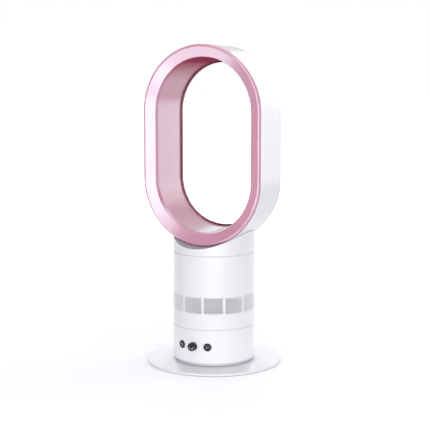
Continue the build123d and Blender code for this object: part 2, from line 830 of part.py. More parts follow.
def make_blower_motor():
    """Motor can with a bearing seat at each end and a rim that centres it in the bucket."""
    top = stator_bottom + stator_height
    can = rod(stator_radius, stator_bottom, top)
    can = fillet(can.edges().filter_by(GeomType.CIRCLE), 1.5)
    seat = bucket_bottom + bucket_wall
    can += tube(bearing_radius + seat_wall, bearing_radius, seat, stator_bottom + lap)
    can += tube(bearing_radius + seat_wall, bearing_radius, top - lap, top + bearing_height - 1)
    can += tube(stator_radius - 4, stator_radius - 8, seat, stator_bottom + lap)
    middle = (stator_bottom + top) / 2
    can += tube(impeller_base_radius - bucket_wall - slip_gap, stator_radius - 2, middle - 1.5, middle + 1.5)
    return can - rod(shaft_radius + slip_gap, seat, top + bearing_height)


def make_bearing(bottom):
    return tube(bearing_radius, shaft_radius + run_gap, bottom, bottom + bearing_height)


# ------------------------------------------------------------------- collar and ducts
def make_outlet_duct():
    """Reducer from the shroud's top to the neck."""
    wide, narrow = outlet_radius, neck_radius + duct_gap
    wall = duct_wall
    straight = duct_top - 5.0
    low = shroud_top
    return turned([(wide, low), (wide + wall, low), (wide + wall, low + 1), (narrow + wall, straight),
                   (narrow + wall, duct_top), (narrow, duct_top), (narrow, straight), (wide, low + 1)])


def make_neck_seal():
    return tube(neck_radius + duct_gap, neck_radius, neck_bottom + 2, neck_bottom + 6)


def make_neck_duct():
    """Round neck under the loop that carries the air up into it."""
    neck = tube(neck_radius, neck_radius - neck_wall, neck_bottom, loop_centre)
    return neck - loop_envelope(-loop_wall)


def make_collar():
    """Top of the body, cut to the saddle that carries the loop."""
    bottom = upper_seam + seam_gap / 2
    inner = body_inner - slip_gap - spigot_wall
    blank = rod(body_radius, bottom, loop_centre - loop_straight)
    blank = chamfer(blank.edges().filter_by(GeomType.CIRCLE).group_by(Axis.Z)[0], edge_chamfer)
    hollow = rod(inner, bottom - 1, loop_centre) - loop_envelope(gasket_height + collar_top_wall)
    collar = blank - hollow - loop_envelope(gasket_height)
    collar += tube(body_inner - slip_gap, inner, bottom - collar_spigot, bottom + lap)
    pad = rod(screw_head_radius + 2, loop_screw_seat(), loop_centre - loop_straight)
    pads = [piece - loop_envelope(gasket_height) for piece in copies(pad, loop_screw_places())]
    collar = add_all(collar, pads)
    collar = cut_all(collar, copies(rod(screw_radius + slip_gap, 0, loop_centre), loop_screw_places()))
    return collar - rod(neck_radius + free_gap, 0, loop_centre)


def loop_screw_places():
    across, along = loop_screw
    return [(sx * across, sy * along) for sx in (-1, 1) for sy in (-1, 1)]


def saddle_height(x):
    """Height of the loop's outside above the body, at the body's axis in depth."""
    return loop_centre - loop_straight - sqrt(outer_width(0) ** 2 - x * x)


def loop_screw_seat():
    return saddle_height(loop_screw[0]) - loop_seat_depth


def make_saddle_gasket():
    """Soft layer between collar and loop, following the saddle."""
    disc = rod(body_radius - edge_chamfer, upper_seam, loop_centre - loop_straight)
    layer = (disc & loop_envelope(gasket_height)) - loop_envelope(slip_gap)
    layer = cut_all(layer, copies(rod(screw_radius + slip_gap, 0, loop_centre), loop_screw_places()))
    return layer - rod(neck_radius, 0, loop_centre)


# -------------------------------------------------------------------------------- loop
def make_loop_shell():
    """White outer shell: tapered outside, rounded rear corner and rear wall."""
    t = loop_wall
    front_w, front_s = lip_side
    rear_w, rear_s = shell_rear
    inner_w, inner_s = shell_inner
    section = loop_profile(
        [(front_w, front_s), (rear_w, rear_s), (inner_w, inner_s), (inner_w, inner_s + t),
         (rear_w - t, rear_s + t), (front_w - t, front_s)],
        [((rear_w, rear_s), shell_corner), ((rear_w - t, rear_s + t), shell_corner - t)])
    shell = round_the_loop(section)
    low = saddle_height(loop_screw[0])
    high = low + loop_boss_height
    bosses = copies(rod(screw_radius + loop_boss_wall, low - loop_seat_depth, high), loop_screw_places())
    shell = add_all(shell, [boss & loop_envelope(-slip_gap) for boss in bosses])
    hole = rod(screw_radius + run_gap, low - loop_seat_depth, high - 1)
    shell = cut_all(shell, copies(hole, loop_screw_places()))
    return shell - rod(neck_radius, 0, loop_centre - loop_straight)


def make_loop_front():
    """Pink moulding: rounded side lip, sloped front band, bevel and inner wall."""
    t = loop_wall
    side_w, side_s = lip_side
    tongue_w = side_w - t - slip_gap
    nose = (side_w, side_s + nose_depth)
    back = (wall_rear[0] + t, wall_rear[1])
    outside = [lip_side, nose, band_outer, band_inner, bevel_inner, wall_rear]
    inside = [back, (bevel_inner[0] + t, bevel_inner[1] - t / 2),
              (band_inner[0] + t / 2, band_inner[1] - t - 0.6),
              (band_outer[0] - t / 2, band_outer[1] - t - 0.8), (tongue_w - t / 2, side_s)]
    tongue = [(tongue_w - t / 2, side_s - tongue_length), (tongue_w, side_s - tongue_length),
              (tongue_w, side_s + slip_gap / 2), (side_w - 0.6, side_s + slip_gap / 2)]
    rounds = [(nose, nose_round), (band_outer, edge_round), (band_inner, edge_round), (bevel_inner, edge_round),
              (wall_rear, t / 2 - 0.1), (back, t / 2 - 0.1)]
    return round_the_loop(loop_profile(outside + inside + tongue, rounds))


def shell_rear_face(half_width):
    """Distance ahead of the shell's sloping rear face at a half width."""
    slope = (shell_rear[1] - shell_inner[1]) / (shell_rear[0] - shell_inner[0])
    return shell_inner[1] + slope * (half_width - shell_inner[0])


def make_slot_lip():
    """Ring behind the slot: its thin lip turns the air forwards along the inner wall."""
    outer = wall_rear[0] - slot_width
    inner = outer - lip_wall
    rim_w, rim_s = shell_inner
    rim_w -= slip_gap
    floor = rim_s + loop_wall
    reach = rim_w + lip_flange
    section = loop_profile(
        [(inner, lip_front), (inner, rim_s), (rim_w, rim_s), (rim_w, floor + slip_gap / 2),
         (reach, shell_rear_face(reach) + loop_wall + slip_gap / 2),
         (reach, shell_rear_face(reach) + loop_wall + lip_flange_wall),
         (rim_w - lip_flange_wall, floor + lip_flange_wall), (rim_w - lip_flange_wall, floor),
         (outer, floor), (outer, lip_front)],
        [((inner, lip_front), lip_wall / 2 - 0.1), ((inner, rim_s), lip_round)])
    return round_the_loop(section)


def make_slot_spacers():
    """Small feet between shell and inner wall that hold the slot open all the way round."""
    wall_w, wall_s = wall_rear
    low, high = wall_w + 1.2, wall_w + loop_wall - 0.2
    floor = shell_inner[1] + loop_wall
    section = loop_profile([(low, floor), (low, wall_s), (high, wall_s), (high, floor)], [])
    ring = round_the_loop(section)
    spacers = []
    for k in range(spacer_count):
        angle = 360.0 * (k + 0.5) / spacer_count
        cutter = Pos(0, 0, loop_centre) * Rot(0, -angle, 0) * Pos(150, 0, 0) * Box(200, 100, spacer_size)
        spacers += (ring & cutter).solids()
    return spacers


def make_loop_screws():
    top = saddle_height(loop_screw[0]) + loop_boss_height - 2
    return copies(screw(loop_screw_seat(), top, head_up=False), loop_screw_places())


# ------------------------------------------------------------------------------ export
def pieces():
    """Every node's name with its solid or its group of like solids."""
    base = {
        "base_plate": make_base_plate(), "base_feet": make_feet(), "swivel_hub": make_swivel_hub(),
        "hub_screws": make_hub_screws(), "glide_ring": make_glide_ring(),
        "fixed_gear": make_fixed_gear(), "gear_washer": make_gear_washer(), "gear_screw": make_gear_screw(),
    }
    lower_body = {
        "turntable": make_turntable(), "hub_bush": make_hub_bush(),
        "turntable_screws": make_turntable_screws(), "skirt_ring": make_skirt_ring(),
        "control_housing": make_control_housing(), "cord_gland": make_cord_gland(),
        "swing_motor": make_swing_motor(), "motor_bracket": make_motor_bracket(),
        "motor_screws": make_motor_screws(), "motor_shaft": make_motor_shaft(),
        "drive_pinion": make_drive_pinion(),
        "deck": make_deck(), "power_board": make_power_board(), "board_screws": make_board_screws(),
        "transformer": make_transformer(), "capacitor": make_capacitor(), "heat_sink": make_heat_sink(),
    }
    controls = {
        "power_button": make_button(-control_spacing), "power_plunger": make_plunger(-control_spacing),
        "swing_button": make_button(control_spacing), "swing_plunger": make_plunger(control_spacing),
        "speed_knob": make_speed_knob(), "knob_shaft": make_knob_shaft(),
        "potentiometer": make_potentiometer(), "button_switches": make_switches(),
        "control_boards": make_control_boards(), "control_bracket": make_control_bracket(),
    }
    upper_body = {
        "housing_screws": make_housing_screws(), "main_housing": make_main_housing(),
        "intake_grille": make_intake_grille(), "isolation_ring": make_isolation_ring(),
        "impeller_shroud": make_impeller_shroud(), "impeller": make_impeller(),
        "impeller_shaft": make_impeller_shaft(), "impeller_nut": make_impeller_nut(),
        "motor_bucket": make_motor_bucket(), "bucket_cap": make_bucket_cap(),
        "blower_motor": make_blower_motor(), "lower_bearing": make_bearing(bucket_bottom),
        "upper_bearing": make_bearing(stator_bottom + stator_height),
        "outlet_duct": make_outlet_duct(), "neck_seal": make_neck_seal(), "collar": make_collar(),
    }
    loop = {
        "neck_duct": make_neck_duct(), "saddle_gasket": make_saddle_gasket(),
        "loop_screws": make_loop_screws(), "loop_shell": make_loop_shell(),
        "loop_front": make_loop_front(), "slot_lip": make_slot_lip(), "slot_spacers": make_slot_spacers(),
    }
    return {**base, **lower_body, **controls, **upper_body, **loop}


os.makedirs("parts", exist_ok=True)
for name, shape in pieces().items():
    group = shape if isinstance(shape, list) else [shape]
    solids = [solid for piece in group for solid in piece.solids()]
    export_step(Compound(children=solids), f"parts/{name}.step")
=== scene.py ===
"""Bladeless tower fan in a white studio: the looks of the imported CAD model.

Metres, in the model's own frame: +Z is up, the fan blows towards -Y and stands on z = 0.
The sections follow the fan as it is put together, from the table to the top of the loop.
"""
import math

import bpy
import numpy as np
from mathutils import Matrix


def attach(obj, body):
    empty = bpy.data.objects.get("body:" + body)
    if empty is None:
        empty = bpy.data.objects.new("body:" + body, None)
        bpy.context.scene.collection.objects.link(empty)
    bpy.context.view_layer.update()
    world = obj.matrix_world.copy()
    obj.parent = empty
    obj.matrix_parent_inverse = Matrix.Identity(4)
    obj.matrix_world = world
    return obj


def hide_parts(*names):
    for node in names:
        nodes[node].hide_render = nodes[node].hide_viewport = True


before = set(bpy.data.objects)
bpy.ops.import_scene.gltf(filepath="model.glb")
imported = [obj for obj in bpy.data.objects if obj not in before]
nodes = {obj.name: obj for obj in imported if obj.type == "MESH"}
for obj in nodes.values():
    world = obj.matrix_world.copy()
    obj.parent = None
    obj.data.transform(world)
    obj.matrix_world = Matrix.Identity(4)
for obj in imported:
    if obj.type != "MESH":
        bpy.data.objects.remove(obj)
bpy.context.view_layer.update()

# ------------------------------------------------------------------ studio and camera
# The fan stands on a pale table in a white studio. A long lens looks slightly down at
# it from the right of its front. The room lights it evenly and soft lamps shape it.
camera_turn = math.radians(29.5)     # to the right of the fan's front
camera_dip = math.radians(7.23)
camera_away, camera_height, camera_aside = 2.033, 0.532, 0.00187
camera_lens = 92.51
sensor_width = 36.0
farthest_seen = 60.0
white = (1.0, 1.0, 1.0, 1.0)
room_tint, room_strength = (0.96, 0.95, 1.0, 1.0), 0.49
backdrop_start, backdrop_full = 0.40, 0.60   # cosine from the view, where mirrored rays meet the backdrop


def around(turn, away, height):
    """Point at a distance from the fan's axis; turn is measured from the camera, rightwards."""
    angle = camera_turn + turn
    return away * math.sin(angle), -away * math.cos(angle), height


camera = bpy.data.objects.new("camera", bpy.data.cameras.new("camera"))
camera.data.lens = camera_lens
camera.data.sensor_width = sensor_width
camera.data.clip_end = farthest_seen
x, y, z = around(0.0, camera_away, camera_height)
camera.location = (x + camera_aside * math.cos(camera_turn), y + camera_aside * math.sin(camera_turn), z)
camera.rotation_euler = (math.pi / 2 - camera_dip, 0.0, camera_turn)
bpy.context.scene.collection.objects.link(camera)
bpy.context.scene.camera = camera
bpy.context.scene.view_settings.view_transform = "Standard"


def soft_lamp(name, turn, away, height, aim, size, radiance, tint=white[:3]):
    """Rectangular soft lamp that faces a point of the fan's axis. Its power is pi times
    its area times its radiance, so radiance 1 looks as bright as a white surface."""
    lamp = bpy.data.lights.new(name, "AREA")
    lamp.shape = "RECTANGLE"
    lamp.size, lamp.size_y = size
    lamp.energy = math.pi * size[0] * size[1] * radiance
    lamp.color = tint
    holder = bpy.data.objects.new(name, lamp)
    holder.location = around(math.radians(turn), away, height)
    holder.rotation_euler = (math.pi / 2 + math.atan2(aim - height, away), 0.0,
                             camera_turn + math.radians(turn))
    holder.visible_camera = False
    bpy.context.scene.collection.objects.link(holder)
    return holder


front_lamp = soft_lamp("front_lamp", 0, 2.6, 0.30, 0.30, (2.2, 0.8), 7.6)
top_lamp = soft_lamp("top_lamp", 0, 0.05, 2.40, 0.30, (2.0, 2.0), 1.7)
soft_lamp("right_lamp", 120, 2.4, 0.80, 0.30, (1.2, 1.8), 1.1)
right_strip = soft_lamp("right_strip", 122, 2.4, 0.60, 0.35, (0.5, 1.6), 1.6)
back_lamp = soft_lamp("back_lamp", 180, 3.5, 1.10, 0.30, (3.0, 1.0), 3.5)
back_lamp.visible_glossy = False
rim_lamps = [soft_lamp("left_strip", -136, 2.4, 0.60, 0.35, (0.5, 1.6), 9.0),
             soft_lamp("left_rim_lamp", -155, 2.4, 0.80, 0.30, (1.2, 1.8), 9.0),
             soft_lamp("right_rim_lamp", 150, 2.4, 0.80, 0.30, (1.2, 1.8), 13.0)]
for lamp in rim_lamps:               # seen in gloss only
    lamp.visible_diffuse = False


def add_node(tree, kind, values=None, **settings):
    """New shader node with its settings and then the values of its inputs."""
    node = tree.nodes.new(kind)
    for setting, value in settings.items():
        setattr(node, setting, value)
    for socket, value in (values or {}).items():
        node.inputs[socket].default_value = value
    return node


def worked_out(tree, operation, first, second=0.0):
    """Output of one sum, product or the like, on outputs or numbers."""
    step = add_node(tree, "ShaderNodeMath", operation=operation)
    for k, value in enumerate((first, second)):
        if isinstance(value, float):
            step.inputs[k].default_value = value
        else:
            tree.links.new(value, step.inputs[k])
    return step.outputs[0]


def stretched(tree, value, low, high, start=0.0, end=1.0, shape="SMOOTHSTEP"):
    """Output that goes from start to end while an output goes from low to high."""
    span = add_node(tree, "ShaderNodeMapRange",
                    {"From Min": low, "From Max": high, "To Min": start, "To Max": end},
                    interpolation_type=shape)
    tree.links.new(value, span.inputs["Value"])
    return span.outputs[0]


studio = bpy.data.worlds.new("studio")
bpy.context.scene.world = studio
studio.use_nodes = True
wires = studio.node_tree
wires.nodes.clear()
ray = add_node(wires, "ShaderNodeLightPath")
look = add_node(wires, "ShaderNodeTexCoord")
ahead = add_node(wires, "ShaderNodeVectorMath", {1: (-math.sin(camera_turn), math.cos(camera_turn), 0.0)},
                 operation="DOT_PRODUCT")
wires.links.new(look.outputs["Generated"], ahead.inputs[0])
behind = stretched(wires, ahead.outputs["Value"], backdrop_start, backdrop_full)
mirrored = worked_out(wires, "MULTIPLY", ray.outputs["Is Glossy Ray"], behind)
seen = worked_out(wires, "MAXIMUM", ray.outputs["Is Camera Ray"], mirrored)
seen = worked_out(wires, "MAXIMUM", seen, ray.outputs["Is Transmission Ray"])
room = add_node(wires, "ShaderNodeBackground", {"Color": room_tint, "Strength": room_strength})
backdrop = add_node(wires, "ShaderNodeBackground", {"Color": white, "Strength": 1.0})
choice = add_node(wires, "ShaderNodeMixShader")
for k, source in enumerate((seen, room.outputs[0], backdrop.outputs[0])):
    wires.links.new(source, choice.inputs[k])
sky = add_node(wires, "ShaderNodeOutputWorld")
wires.links.new(choice.outputs[0], sky.inputs["Surface"])

# --------------------------------------------------------------------------- the table
# A wide matt white sheet under the fan. It glows a little where the camera or a gloss sees
# it, more for the camera farther out, so that it runs into the white backdrop.
table_radius = 24.0
table_corners = 64
table_tone = (243, 243, 244)
bounce = 0.5                         # share of its colour that it throws back at the fan
near_glow, far_glow = 0.18, 1.0      # what it adds for the camera by the fan and far from it
mirrored_glow = 0.5                  # what it adds in the fan's gloss, close to the fan
glow_start, mirrored_start, glow_end = 0.35, 1.0, 1.6


def linear(red, green, blue):
    """Screen colour, 0 to 255, as the linear colour that a shader takes."""
    c = np.array([red, green, blue]) / 255.0
    return tuple(np.where(c <= 0.04045, c / 12.92, ((c + 0.055) / 1.055) ** 2.4)) + (1.0,)


def scaled(colour, factor):
    """Colour made darker or lighter by a factor, no lighter than white."""
    return tuple(min(1.0, c * factor) for c in colour[:3]) + (1.0,)


def blended(tree, share, first, second, blend="MIX"):
    """Output that goes from a first to a second colour, each of them an output or a value."""
    mix = add_node(tree, "ShaderNodeMix", data_type="RGBA", blend_type=blend)
    for socket, colour in ((6, first), (7, second)):
        if isinstance(colour, tuple):
            mix.inputs[socket].default_value = colour
        else:
            tree.links.new(colour, mix.inputs[socket])
    tree.links.new(share, mix.inputs[0])
    return mix.outputs[2]


def recoloured(material, share, colour, blend="MIX"):
    """Puts a further colour over a material's own, by the share that an output gives."""
    tree = material.node_tree
    base = tree.nodes["Principled BSDF"].inputs["Base Color"]
    tree.links.new(blended(tree, share, base.links[0].from_socket, colour, blend), base)


def grain_group():
    """Shared fine surface of moulded, sprayed and cast pieces. Outputs, each from 0 to 1:
    height is fine grain for a bump, cloud is a slow drift over the piece and speck is
    noise between the two scales."""
    group = bpy.data.node_groups.new("fine_grain", "ShaderNodeTree")
    for name, value in (("grain", 1800.0), ("cloud", 9.0), ("speck", 260.0)):
        socket = group.interface.new_socket(name=name, in_out="INPUT", socket_type="NodeSocketFloat")
        socket.default_value = value
    for name in ("height", "cloud", "speck"):
        group.interface.new_socket(name=name, in_out="OUTPUT", socket_type="NodeSocketFloat")
    start, end = add_node(group, "NodeGroupInput"), add_node(group, "NodeGroupOutput")
    place = add_node(group, "ShaderNodeTexCoord")
    for source, target, detail in (("grain", "height", 2.0), ("cloud", "cloud", 2.0),
                                   ("speck", "speck", 4.0)):
        noise = add_node(group, "ShaderNodeTexNoise", {"Detail": detail})
        group.links.new(place.outputs["Object"], noise.inputs["Vector"])
        group.links.new(start.outputs[source], noise.inputs["Scale"])
        group.links.new(noise.outputs["Fac"], end.inputs[target])
    return group


fine_grain = grain_group()


def finish(name, colour, drift=0.03, rough=0.4, rough_drift=0.05, grain=1800.0, depth=0.00002, cloud=9.0,
           speck=260.0, **shader):
    """Material of a moulded, sprayed or cast surface. The colour drifts slowly by the
    share drift either way, the roughness follows the middle noise, and a bump of the
    given depth in metres carries the grain. Further values go to the shader's sockets."""
    material = bpy.data.materials.new(name)
    material.use_nodes = True
    tree = material.node_tree
    surface = tree.nodes["Principled BSDF"]
    fine = add_node(tree, "ShaderNodeGroup", {"grain": grain, "cloud": cloud, "speck": speck},
                    node_tree=fine_grain)
    tone = blended(tree, fine.outputs["cloud"], scaled(colour, 1.0 - drift), scaled(colour, 1.0 + drift))
    tree.links.new(tone, surface.inputs["Base Color"])
    polish = stretched(tree, fine.outputs["speck"], 0.3, 0.7, max(0.0, rough - rough_drift),
                       rough + rough_drift, "LINEAR")
    tree.links.new(polish, surface.inputs["Roughness"])
    bump = add_node(tree, "ShaderNodeBump", {"Strength": 0.5, "Distance": depth})
    tree.links.new(fine.outputs["height"], bump.inputs["Height"])
    tree.links.new(bump.outputs[0], surface.inputs["Normal"])
    for socket, value in shader.items():
        surface.inputs[socket.replace("_", " ")].default_value = value
    return material


def new_piece(name, points, faces, material, sharp=math.radians(32)):
    """Puts points and faces, whole arrays, into a mesh of smooth faces whose edges stay
    sharp where two faces meet at more than an angle."""
    mesh = bpy.data.meshes.new(name)
    mesh.from_pydata(np.asarray(points, float).tolist(), [], np.asarray(faces, int).tolist())
    mesh.materials.append(material)
    mesh.polygons.foreach_set("use_smooth", np.ones(len(mesh.polygons), bool))
    mesh.set_sharp_from_angle(angle=sharp)
    mesh.validate()
    piece = bpy.data.objects.new(name, mesh)
    bpy.context.scene.collection.objects.link(piece)
    return piece


sheet_white = finish("table_white", linear(*table_tone), drift=0.004, rough=0.9, rough_drift=0.02,
                     grain=400.0, depth=0.0002, cloud=0.6, speck=40.0)
tree = sheet_white.node_tree
ray = add_node(tree, "ShaderNodeLightPath")
recoloured(sheet_white, ray.outputs["Is Diffuse Ray"], scaled(linear(*table_tone), bounce))
place = add_node(tree, "ShaderNodeTexCoord")
length = add_node(tree, "ShaderNodeVectorMath", operation="LENGTH")
tree.links.new(place.outputs["Object"], length.inputs[0])
glows = []
for kind, start, by_the_fan, far_off in (("Is Camera Ray", glow_start, near_glow, far_glow),
                                         ("Is Glossy Ray", mirrored_start, mirrored_glow, 0.0)):
    change = stretched(tree, length.outputs["Value"], start, glow_end, by_the_fan, far_off)
    glows.append(worked_out(tree, "MULTIPLY", ray.outputs[kind], change))
sheet_shader = tree.nodes["Principled BSDF"]
sheet_shader.inputs["Emission Color"].default_value = white
tree.links.new(worked_out(tree, "ADD", *glows), sheet_shader.inputs["Emission Strength"])
ring = np.linspace(0.0, 2.0 * math.pi, table_corners, endpoint=False)
table_points = np.stack([table_radius * np.cos(ring), table_radius * np.sin(ring), 0.0 * ring], -1)
table = new_piece("table", table_points, np.arange(table_corners)[None, :], sheet_white)

# -------------------------------------------------------------------- disc and its feet
# The base is a round steel disc in pale gloss lacquer; a painted highlight makes its rounded edge paler
# still.
# Six soft rubber feet sit in pockets below it and lift it a little off the table.
disc_gloss = finish("disc_gloss", linear(223, 222, 226), drift=0.006, rough=0.32, rough_drift=0.02,
                    grain=900.0, depth=0.000004, Specular_IOR_Level=0.22)
foot_rubber = finish("foot_rubber", linear(58, 58, 62), rough=0.75, grain=1500.0, depth=0.00006)
# Painted highlight: the disc's rounded edge and underside, from just below its top, take a paler colour than
# the top.
rim_painted_highlight = linear(250, 250, 252)
rim_highlight_full, rim_highlight_end = 0.0010, 0.0002         # below the disc's top: where the edge's tone is full and ends


def along(tree, axis):
    """Output with an object coordinate: X, Y or Z."""
    place = add_node(tree, "ShaderNodeTexCoord")
    axes = add_node(tree, "ShaderNodeSeparateXYZ")
    tree.links.new(place.outputs["Object"], axes.inputs[0])
    return axes.outputs[axis]


def dress(material, *names):
    """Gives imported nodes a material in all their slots."""
    for name in names:
        slots = nodes[name].data.materials
        for k in range(len(slots)):
            slots[k] = material


def link_light(name, lamps, pieces, left_out=False):
    """Makes lamps light the given pieces alone or, left out, every piece but them."""
    group = bpy.data.collections.new(name)
    for k, piece in enumerate(pieces):
        group.objects.link(piece)
        if left_out:
            group.collection_objects[k].light_linking.link_state = "EXCLUDE"
    for lamp in lamps:
        lamp.light_linking.receiver_collection = group


disc_top = max(corner[2] for corner in nodes["base_plate"].bound_box)
tree = disc_gloss.node_tree
# The painted highlight on the rounded edge, full a millimetre below the top and gone near it.
rim_highlight_mask = stretched(tree, along(tree, "Z"), disc_top - rim_highlight_full, disc_top - rim_highlight_end, 1.0, 0.0, "LINEAR")
recoloured(disc_gloss, rim_highlight_mask, rim_painted_highlight)
dress(disc_gloss, "base_plate")
dress(foot_rubber, "base_feet")
disc_lamp = soft_lamp("disc_lamp", 180, 2.6, 1.60, 0.0, (2.0, 0.8), 11.0)
disc_lamp.visible_glossy = False
link_light("lit_disc", [disc_lamp], [nodes["base_plate"]])

# --------------------------------------------------------------------- swivel and gears
# The hub, the glide ring and both gears are cut or moulded from unfilled nylon. Steel
# screws and a washer hold the fixed gear on the hub, and the bush is sintered bronze.
nylon = finish("nylon", linear(232, 229, 218), drift=0.02, rough=0.42, depth=0.00003)
ring_tone = 0.82                     # the darker of a tool mark's two tones, as a share of the metal's colour


def metal(name, colour, rough=0.28, lay=900.0):
    """Machined or drawn metal: noise drawn out across z gives the fine rings that the tool
    leaves, in the colour, the roughness and the bump."""
    material = bpy.data.materials.new(name)
    material.use_nodes = True
    tree = material.node_tree
    surface = tree.nodes["Principled BSDF"]
    place = add_node(tree, "ShaderNodeTexCoord")
    squeeze = add_node(tree, "ShaderNodeMapping", {"Scale": (0.05, 0.05, 1.0)})
    rings = add_node(tree, "ShaderNodeTexNoise", {"Scale": lay, "Detail": 3.0})
    tree.links.new(place.outputs["Object"], squeeze.inputs["Vector"])
    tree.links.new(squeeze.outputs[0], rings.inputs["Vector"])
    tone = blended(tree, rings.outputs["Fac"], scaled(colour, ring_tone), colour)
    tree.links.new(tone, surface.inputs["Base Color"])
    polish = stretched(tree, rings.outputs["Fac"], 0.0, 1.0, 0.7 * rough, 1.3 * rough, "LINEAR")
    tree.links.new(polish, surface.inputs["Roughness"])
    bump = add_node(tree, "ShaderNodeBump", {"Strength": 0.3, "Distance": 0.00002})
    tree.links.new(rings.outputs["Fac"], bump.inputs["Height"])
    tree.links.new(bump.outputs[0], surface.inputs["Normal"])
    surface.inputs["Metallic"].default_value = 1.0
    return material


screw_steel = metal("screw_steel", linear(196, 198, 202))
bush_bronze = metal("bush_bronze", linear(196, 150, 92), rough=0.36)
dress(nylon, "swivel_hub", "glide_ring", "fixed_gear", "drive_pinion")
dress(screw_steel, "hub_screws", "gear_washer", "gear_screw", "turntable_screws", "motor_shaft",
      "motor_screws", "board_screws", "housing_screws", "loop_screws", "impeller_shaft",
      "lower_bearing", "upper_bearing")
dress(bush_bronze, "hub_bush", "impeller_nut")

# ------------------------------------------------------------- turntable, skirt, gland
# The turntable closes the body's floor and rides on the glide ring. A thin grey skirt
# hides the gap above the disc, and a rubber gland lines the hole for the lead.
inner_plastic = finish("inner_plastic", linear(206, 206, 208), drift=0.02, rough=0.5, depth=0.00004)
skirt_grey = finish("skirt_grey", linear(206, 205, 211), drift=0.02, rough=0.5, depth=0.00003)
soft_rubber = finish("soft_rubber", linear(46, 46, 50), rough=0.7, grain=1300.0, depth=0.00005)
dress(inner_plastic, "turntable", "motor_bracket", "control_bracket", "deck", "impeller_shroud",
      "motor_bucket", "bucket_cap", "outlet_duct")
dress(skirt_grey, "skirt_ring")
dress(soft_rubber, "cord_gland", "isolation_ring", "neck_seal")

# ----------------------------------------------------------------------- control housing
# The lower third of the body is a glossy white moulded shell with holes for two buttons,
# the knob and the lead. The same plastic makes all the outer shells, dull at their seams.
shell_coat, shell_specular = 0.3, 0.5
shell_white = finish("shell_white", linear(244, 243, 248), drift=0.006, rough=0.30, rough_drift=0.03,
                     grain=1100.0, depth=0.000006, Coat_Roughness=0.12)
lower_seam, upper_seam = 0.0723, 0.2077
dull_to, gloss_from = 0.0008, 0.0014         # distance from a seam: gloss gone up to it, full from it
tree = shell_white.node_tree
level = along(tree, "Z")
from_seams = [worked_out(tree, "ABSOLUTE", worked_out(tree, "SUBTRACT", level, seam))
              for seam in (lower_seam, upper_seam)]
gloss = stretched(tree, worked_out(tree, "MINIMUM", *from_seams), dull_to, gloss_from)
for socket, full in (("Specular IOR Level", shell_specular), ("Coat Weight", shell_coat)):
    tree.links.new(worked_out(tree, "MULTIPLY", gloss, full), tree.nodes["Principled BSDF"].inputs[socket])
dress(shell_white, "control_housing")

# ---------------------------------------------------------------------- buttons and knob
# Two short black push buttons and a turned black knob between them. Their small grey
# marks are printed on the faces and stand a twentieth of a millimetre proud.
control_black = finish("control_black", linear(13, 13, 16), drift=0.10, rough=0.34, rough_drift=0.06,
                       grain=1600.0, depth=0.00003, Specular_IOR_Level=0.35)
mark_grey = finish("mark_grey", linear(176, 175, 170), drift=0.05, rough=0.55, grain=3000.0, depth=0.00001)
dim_grey = finish("dim_grey", linear(118, 118, 122), drift=0.05, rough=0.55, grain=3000.0, depth=0.00001)
dress(control_black, "power_button", "swing_button", "speed_knob")
control_level = 0.0415
button_turn = 20.5                   # degrees from the knob to the button on either side
button_face, knob_face = 0.0770, 0.0848
ink_height = 0.00005


def lattice(rows, columns):
    """Four-sided faces of a grid of points, stored row by row, whose rows are closed."""
    r = np.arange(rows - 1)[:, None] * columns
    c = np.arange(columns)[None, :]
    c2 = (c + 1) % columns
    return np.stack([r + c, r + c2, r + columns + c2, r + columns + c], -1).reshape(-1, 4)


def printed(name, strokes, angle, reach, material, body):
    """Printed mark made of strokes. Each stroke is a path in the face's plane with a
    width: the left and right edges of the path, at the ink's top and its foot, form a
    closed strip. Faces are set at an angle to the right of the front, and reach is the
    face's distance from the fan's axis."""
    a = math.radians(angle)
    right = np.array([math.cos(a), math.sin(a), 0.0])
    out = np.array([math.sin(a), -math.cos(a), 0.0])
    up = np.array([0.0, 0.0, 1.0])
    lift = reach + ink_height * np.array([1, 1, -1, -1])
    points, faces = [], []
    for path, width in strokes:
        path = np.asarray(path, float)
        step = np.gradient(path, axis=0)
        side = np.stack([-step[:, 1], step[:, 0]], -1) / np.linalg.norm(step, axis=1)[:, None] * width / 2
        rim = np.stack([path - side, path + side, path + side, path - side], 1)
        solid = rim[..., :1] * right + rim[..., 1:] * up + lift[None, :, None] * out + control_level * up
        start = sum(len(p) for p in points)
        end = start + 4 * (len(path) - 1)
        points.append(solid.reshape(-1, 3))
        faces += (lattice(len(path), 4)[:, ::-1] + start).tolist()
        faces += [[start + 3, start + 2, start + 1, start], [end, end + 1, end + 2, end + 3]]
    mark = new_piece(name, np.concatenate(points), faces, material)
    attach(mark, body)
    return mark


def arc(radius, first, last, steps=24, centre=(0.0, 0.0)):
    """Arc in a face's plane, angles in degrees from the right, turning anticlockwise."""
    t = np.radians(np.linspace(first, last, steps))
    return np.stack([centre[0] + radius * np.cos(t), centre[1] + radius * np.sin(t)], -1)


power_strokes = [(arc(0.0026, 125, 415), 0.0009), ([(0, 0.0008), (0, 0.0034)], 0.0009)]
swing_strokes = [(arc(0.0036, -62, 62), 0.0007), (arc(0.0036, 118, 242), 0.0007),
                 ([(-0.0010, -0.0026), (-0.0010, 0.0026)], 0.0011),
                 ([(0.0010, -0.0026), (0.0010, 0.0026)], 0.0011)]
dial_centre = (0, 0.0010)
speed_strokes = [(arc(0.0044, 192, 258, 10, dial_centre), 0.0012),
                 (arc(0.0044, 276, 342, 10, dial_centre), 0.0018)]
power_mark = printed("power_mark", power_strokes, -button_turn, button_face, mark_grey, "power_button_body")
swing_mark = printed("swing_mark", swing_strokes, button_turn, button_face, dim_grey, "swing_button_body")
speed_mark = printed("speed_mark", speed_strokes, 0.0, knob_face, mark_grey, "knob_body")

